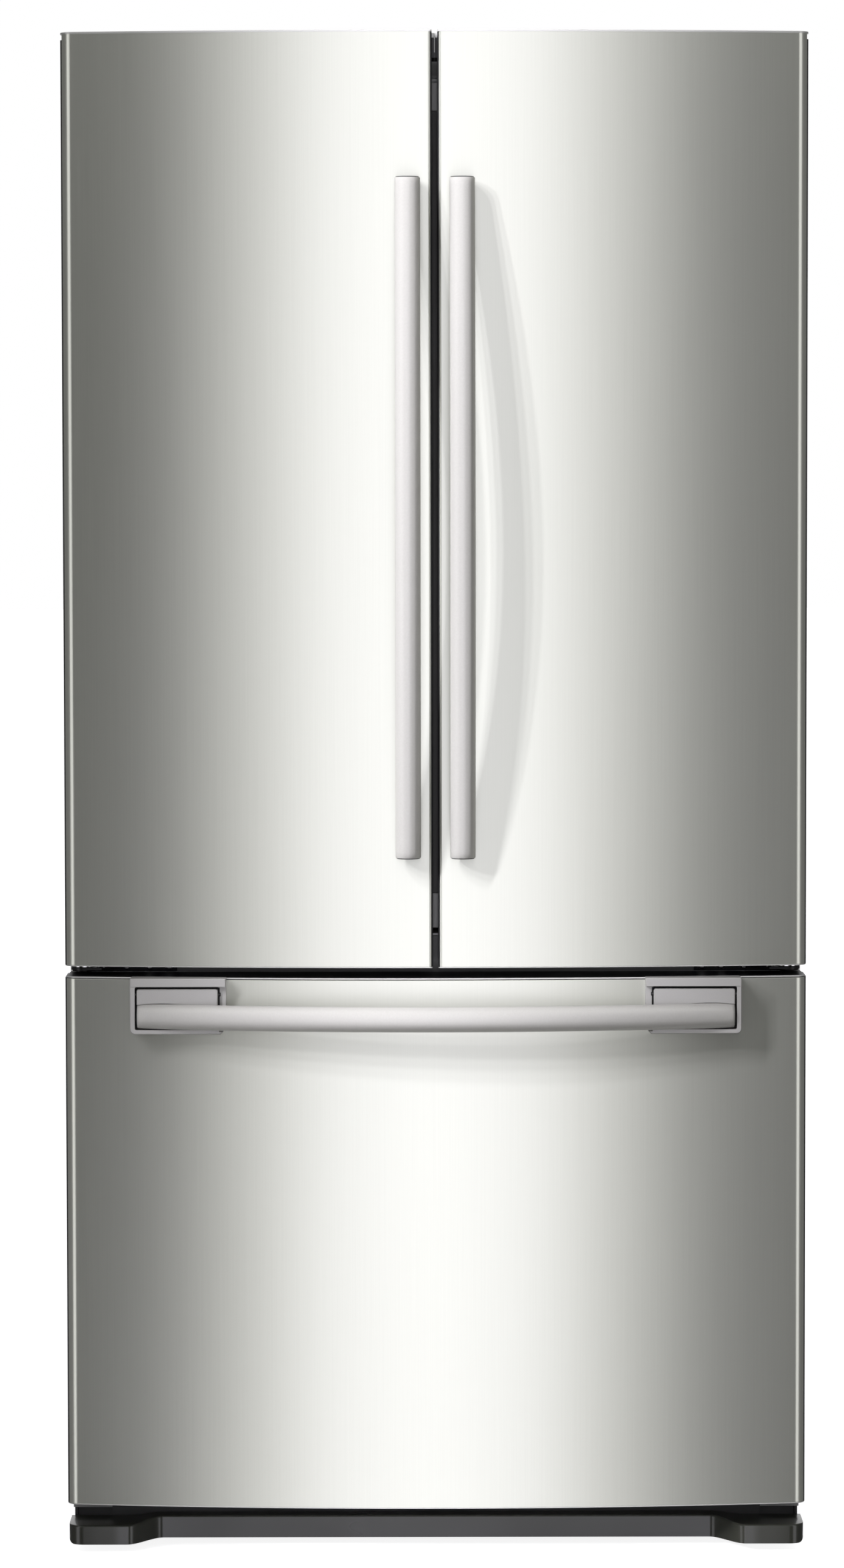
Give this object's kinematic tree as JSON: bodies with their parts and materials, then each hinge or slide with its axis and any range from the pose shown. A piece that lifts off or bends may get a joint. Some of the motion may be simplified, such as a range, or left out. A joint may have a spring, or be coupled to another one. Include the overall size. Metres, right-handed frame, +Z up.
{
  "type": "french door refrigerator",
  "caption": "French door refrigerator with bowed stainless doors over a pull-out freezer drawer, bowed bar handles, dark cabinet and stepped dark grey kick cover.",
  "frame": {"origin": "centre of the floor rectangle that the whole refrigerator covers, handles included", "axes": "+X is the user's right when facing the front, +Y to the back, +Z up; the doors look towards -Y"},
  "size_m": [0.832, 0.8368, 1.714],
  "materials": {
    "brushed_steel": "fine horizontal brushing, satin",
    "black_plastic": "moulded, satin black",
    "white_liner": "vacuum-formed, white",
    "gasket": "soft grey magnetic seal",
    "satin_bar": "extruded, satin",
    "silver_plastic": "silver-painted plastic, satin",
    "clear_plastic": "clear, lightly tinted",
    "flap_plastic": "dark grey moulded",
    "case_paint": "dark painted steel, fine texture",
    "galvanised": "zinc-coated steel",
    "foam": "rigid polyurethane foam, raw",
    "kick_plastic": "dark grey moulded, semi-gloss",
    "hinge_steel": "black painted steel, bright pins",
    "shelf_glass": "clear tempered glass",
    "compressor_black": "gloss black paint",
    "coil_aluminium": "bare fins and tube",
    "nylon": "natural nylon"
  },
  "bodies": {
    "cabinet": {"cabinet_wrap": "case_paint", "rear_panel": "galvanised", "cabinet_foam": "foam", "fridge_liner": "white_liner", "freezer_liner": "white_liner", "divider_rail": "case_paint", "base_frame": "case_paint", "machine_cover": "black_plastic", "top_hinge_left": "hinge_steel", "top_hinge_right": "hinge_steel", "hinge_cover_left": "black_plastic", "hinge_cover_right": "black_plastic", "mid_hinge_left": "hinge_steel", "mid_hinge_right": "hinge_steel", "kick_cover": "kick_plastic", "compressor": "compressor_black", "drip_pan": "black_plastic", "condenser": "coil_aluminium", "evaporator": "coil_aluminium", "evaporator_cover": "white_liner", "shelf_left": "shelf_glass", "shelf_right": "shelf_glass", "crisper_lid": "shelf_glass", "slide_rail_left": "galvanised", "slide_rail_right": "galvanised"},
    "left_door": {"left_door_panel": "brushed_steel", "left_door_frame": "black_plastic", "left_door_core": "white_liner", "left_door_gasket": "gasket", "left_door_handle": "satin_bar", "left_door_bin_1": "clear_plastic", "left_door_bin_2": "clear_plastic"},
    "right_door": {"right_door_panel": "brushed_steel", "right_door_frame": "black_plastic", "right_door_core": "white_liner", "right_door_gasket": "gasket", "right_door_handle": "satin_bar", "right_door_bin_1": "clear_plastic", "right_door_bin_2": "clear_plastic"},
    "flap": {"mullion_flap": "flap_plastic"},
    "drawer": {"drawer_panel": "brushed_steel", "drawer_frame": "black_plastic", "drawer_core": "white_liner", "drawer_gasket": "gasket", "lever_housing_left": "silver_plastic", "lever_housing_right": "silver_plastic", "drawer_carrier": "galvanised", "freezer_basket": "clear_plastic"},
    "drawer_handle": {"drawer_bar": "satin_bar", "handle_lever_left": "silver_plastic", "handle_lever_right": "silver_plastic"},
    "crisper_left_drawer": {"crisper_left": "clear_plastic"},
    "crisper_right_drawer": {"crisper_right": "clear_plastic"},
    "foot_left_turn": {"foot_left": "black_plastic"},
    "foot_right_turn": {"foot_right": "black_plastic"},
    "roller_left_wheel": {"roller_left": "nylon"},
    "roller_right_wheel": {"roller_right": "nylon"},
    "condenser_fan_wheel": {"condenser_fan": "black_plastic"},
    "evaporator_fan_wheel": {"evaporator_fan": "black_plastic"}
  },
  "joints": [
    {"name": "left_door_hinge", "type": "hinge", "parent": "cabinet", "child": "left_door", "pos_m": [-0.397, -0.27658, 1.187], "axis": [0, 0, -1], "range_deg": [0, 104.5]},
    {"name": "right_door_hinge", "type": "hinge", "parent": "cabinet", "child": "right_door", "pos_m": [0.397, -0.27658, 1.187], "axis": [0, 0, 1], "range_deg": [0, 104.5]},
    {"name": "flap_fold", "type": "hinge", "parent": "left_door", "child": "flap", "pos_m": [-0.03, -0.23258, 1.1795], "axis": [0, 0, 1], "range_deg": [0, 90]},
    {"name": "freezer_slide", "type": "slide", "parent": "cabinet", "child": "drawer", "axis": [0, -1, 0], "range_m": [0, 0.4]},
    {"name": "drawer_handle_tilt", "type": "hinge", "parent": "drawer", "child": "drawer_handle", "pos_m": [0, -0.34758, 0.6381], "axis": [-1, 0, 0], "range_deg": [0, 15], "stiffness_Nm_per_rad": 2, "springref_deg": -8.59},
    {"name": "crisper_left_slide", "type": "slide", "parent": "cabinet", "child": "crisper_left_drawer", "axis": [0, -1, 0], "range_m": [0, 0.08]},
    {"name": "crisper_right_slide", "type": "slide", "parent": "cabinet", "child": "crisper_right_drawer", "axis": [0, -1, 0], "range_m": [0, 0.08]},
    {"name": "foot_left_screw", "type": "hinge", "parent": "cabinet", "child": "foot_left_turn", "pos_m": [-0.35, -0.20658, 0.02], "axis": [0, 0, 1], "continuous": true},
    {"name": "foot_right_screw", "type": "hinge", "parent": "cabinet", "child": "foot_right_turn", "pos_m": [0.35, -0.20658, 0.02], "axis": [0, 0, 1], "continuous": true},
    {"name": "roller_left_spin", "type": "hinge", "parent": "cabinet", "child": "roller_left_wheel", "pos_m": [-0.35, 0.34842, 0.017], "axis": [1, 0, 0], "continuous": true},
    {"name": "roller_right_spin", "type": "hinge", "parent": "cabinet", "child": "roller_right_wheel", "pos_m": [0.35, 0.34842, 0.017], "axis": [1, 0, 0], "continuous": true},
    {"name": "condenser_fan_spin", "type": "hinge", "parent": "cabinet", "child": "condenser_fan_wheel", "pos_m": [-0.1367, 0.30342, 0.1103], "axis": [1, 0, 0], "continuous": true},
    {"name": "evaporator_fan_spin", "type": "hinge", "parent": "cabinet", "child": "evaporator_fan_wheel", "pos_m": [0, 0.26522, 0.5405], "axis": [0, 1, 0], "continuous": true}
  ]
}
